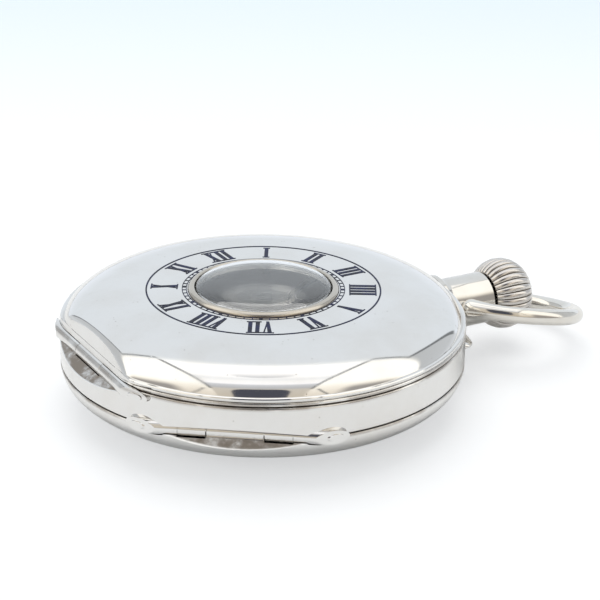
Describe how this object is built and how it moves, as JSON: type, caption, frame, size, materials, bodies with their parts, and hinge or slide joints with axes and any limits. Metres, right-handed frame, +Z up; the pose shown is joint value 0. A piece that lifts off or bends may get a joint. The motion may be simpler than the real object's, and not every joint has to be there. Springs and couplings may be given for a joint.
{
  "type": "half hunter pocket watch",
  "caption": "Round hinged-cover pocket watch with a glazed window in its front lid, ribbed winding crown, swinging bow and a hinged back over a mechanical lever movement.",
  "frame": {"origin": "on the surface the watch lies on, under the middle of the case", "axes": "+Z up through the dial and front lid, +X out through the pendant at three o'clock, +Y towards twelve o'clock"},
  "size_m": [0.0716, 0.0504, 0.0155],
  "materials": {
    "silver": "polished silver, lightly tarnished",
    "dark_enamel": "fired dark enamel",
    "watch_glass": "polished glass",
    "steel": "polished steel",
    "blued_steel": "heat blued steel",
    "gilt": "gilt brass, fine frosted",
    "brass": "polished brass",
    "white_enamel": "white fired enamel on copper",
    "ruby": "clear red jewel"
  },
  "bodies": {
    "case": {"case_band": "silver", "pendant": "silver", "pendant_sleeve": "steel", "lid_hinge_pin": "silver", "back_hinge_pin": "silver", "inner_bezel": "silver", "inner_crystal": "watch_glass", "dial": "white_enamel", "dial_markings": "dark_enamel", "main_plate": "gilt", "plate_pillars": "gilt", "barrel_bridge": "gilt", "train_bridge": "gilt", "click_spring": "steel", "pallet_cock": "gilt", "hairspring": "blued_steel", "balance_cock": "gilt", "jewels": "ruby", "plate_screws": "blued_steel", "case_screws": "blued_steel", "lid_catch_spring": "steel", "lid_lift_spring": "steel"},
    "lid": {"front_lid": "silver", "lid_window_bezel": "silver", "lid_crystal": "watch_glass", "lid_numerals": "dark_enamel", "lid_chapter_lines": "dark_enamel"},
    "back": {"back_cover": "silver"},
    "dust": {"dust_cover": "silver"},
    "bow": {"bow": "silver"},
    "winding_pinion": {"winding_pinion": "steel"},
    "crown": {"crown": "silver", "winding_stem": "steel"},
    "crown_wheel": {"crown_wheel": "steel"},
    "ratchet": {"ratchet_wheel": "steel", "barrel_arbor": "steel"},
    "barrel": {"mainspring_barrel": "brass", "barrel_cover": "brass", "mainspring": "blued_steel"},
    "centre": {"centre_wheel": "brass"},
    "third": {"third_wheel": "brass"},
    "fourth": {"fourth_wheel": "brass", "seconds_hand": "blued_steel"},
    "escape": {"escape_wheel": "steel"},
    "lever": {"pallet_fork": "steel", "pallet_stones": "ruby"},
    "balance": {"balance_wheel": "brass"},
    "regulator": {"regulator": "steel"},
    "click": {"click": "steel"},
    "cannon": {"cannon_pinion": "steel", "minute_hand": "blued_steel"},
    "minute_wheel": {"minute_wheel": "brass"},
    "hour": {"hour_wheel": "brass", "hour_hand": "blued_steel"}
  },
  "joints": [
    {"name": "lid_hinge", "type": "hinge", "parent": "case", "child": "lid", "pos_m": [-0.0228, 0, 0.00935], "axis": [0, -1, 0], "range_deg": [0, 90]},
    {"name": "back_hinge", "type": "hinge", "parent": "case", "child": "back", "pos_m": [-0.0134, -0.01845, 0.0059], "axis": [-0.809, 0.5878, 0], "range_deg": [0, 60]},
    {"name": "dust_cover_hinge", "type": "hinge", "parent": "case", "child": "dust", "pos_m": [-0.0134, -0.01845, 0.0059], "axis": [-0.809, 0.5878, 0], "range_deg": [0, 30]},
    {"name": "bow_swing", "type": "hinge", "parent": "case", "child": "bow", "pos_m": [0.0279, 0, 0.007], "axis": [0, -0.9823, 0.1874], "range_deg": [-60, 95]},
    {"name": "crown_turn", "type": "hinge", "parent": "case", "child": "winding_pinion", "pos_m": [0.0163, 0, 0.007], "axis": [1, 0, 0], "continuous": true},
    {"name": "crown_push", "type": "slide", "parent": "winding_pinion", "child": "crown", "axis": [1, 0, 0], "range_m": [-0.0003, 0], "stiffness_N_per_m": 2000},
    {"name": "crown_wheel_turn", "type": "hinge", "parent": "case", "child": "crown_wheel", "pos_m": [0.0118, 0, 0.0045], "axis": [0, 0, 1], "continuous": true},
    {"name": "ratchet_turn", "type": "hinge", "parent": "case", "child": "ratchet", "pos_m": [0.00631, 0.00616, 0.0045], "axis": [0, 0, 1], "continuous": true},
    {"name": "fourth_wheel_turn", "type": "hinge", "parent": "case", "child": "fourth", "pos_m": [0, -0.0094, 0.0062], "axis": [0, 0, 1], "continuous": true},
    {"name": "third_wheel_turn", "type": "hinge", "parent": "case", "child": "third", "pos_m": [0.00418, -0.00541, 0.006], "axis": [0, 0, 1], "continuous": true},
    {"name": "centre_wheel_turn", "type": "hinge", "parent": "case", "child": "centre", "pos_m": [0, 0, 0.0072], "axis": [0, 0, 1], "continuous": true},
    {"name": "barrel_turn", "type": "hinge", "parent": "case", "child": "barrel", "pos_m": [0.00631, 0.00616, 0.006], "axis": [0, 0, 1], "continuous": true},
    {"name": "escape_wheel_turn", "type": "hinge", "parent": "case", "child": "escape", "pos_m": [-0.00462, -0.01012, 0.0072], "axis": [0, 0, 1], "continuous": true},
    {"name": "lever_rock", "type": "hinge", "parent": "case", "child": "lever", "pos_m": [-0.00779, -0.00821, 0.0072], "axis": [0, 0, 1], "range_deg": [-5, 5]},
    {"name": "balance_swing", "type": "hinge", "parent": "case", "child": "balance", "pos_m": [-0.01079, -0.00641, 0.006], "axis": [0, 0, 1], "range_deg": [-135, 135]},
    {"name": "regulator_turn", "type": "hinge", "parent": "case", "child": "regulator", "pos_m": [-0.01079, -0.00641, 0.0031], "axis": [0, 0, 1], "range_deg": [-20, 20]},
    {"name": "click_lift", "type": "hinge", "parent": "case", "child": "click", "pos_m": [0.0006, 0.00946, 0.0045], "axis": [0, 0, 1], "range_deg": [0, 8]},
    {"name": "hand_setting", "type": "hinge", "parent": "case", "child": "cannon", "pos_m": [0, 0, 0.009], "axis": [0, 0, 1], "continuous": true},
    {"name": "minute_wheel_turn", "type": "hinge", "parent": "case", "child": "minute_wheel", "pos_m": [-0.00083, 0.00473, 0.009], "axis": [0, 0, 1], "continuous": true},
    {"name": "hour_hand_turn", "type": "hinge", "parent": "case", "child": "hour", "pos_m": [0, 0, 0.0095], "axis": [0, 0, 1], "continuous": true}
  ],
  "couplings": [
    {"joint": "dust_cover_hinge", "follows": "back_hinge", "ratio": 0.5},
    {"joint": "crown_wheel_turn", "follows": "crown_turn", "ratio": 0.46667},
    {"joint": "ratchet_turn", "follows": "crown_turn", "ratio": -0.38889},
    {"joint": "third_wheel_turn", "follows": "fourth_wheel_turn", "ratio": -0.13333},
    {"joint": "centre_wheel_turn", "follows": "fourth_wheel_turn", "ratio": 0.016667},
    {"joint": "barrel_turn", "follows": "fourth_wheel_turn", "ratio": -0.0027778},
    {"joint": "escape_wheel_turn", "follows": "fourth_wheel_turn", "ratio": -8},
    {"joint": "minute_wheel_turn", "follows": "hand_setting", "ratio": -0.33333},
    {"joint": "hour_hand_turn", "follows": "hand_setting", "ratio": 0.083333}
  ]
}
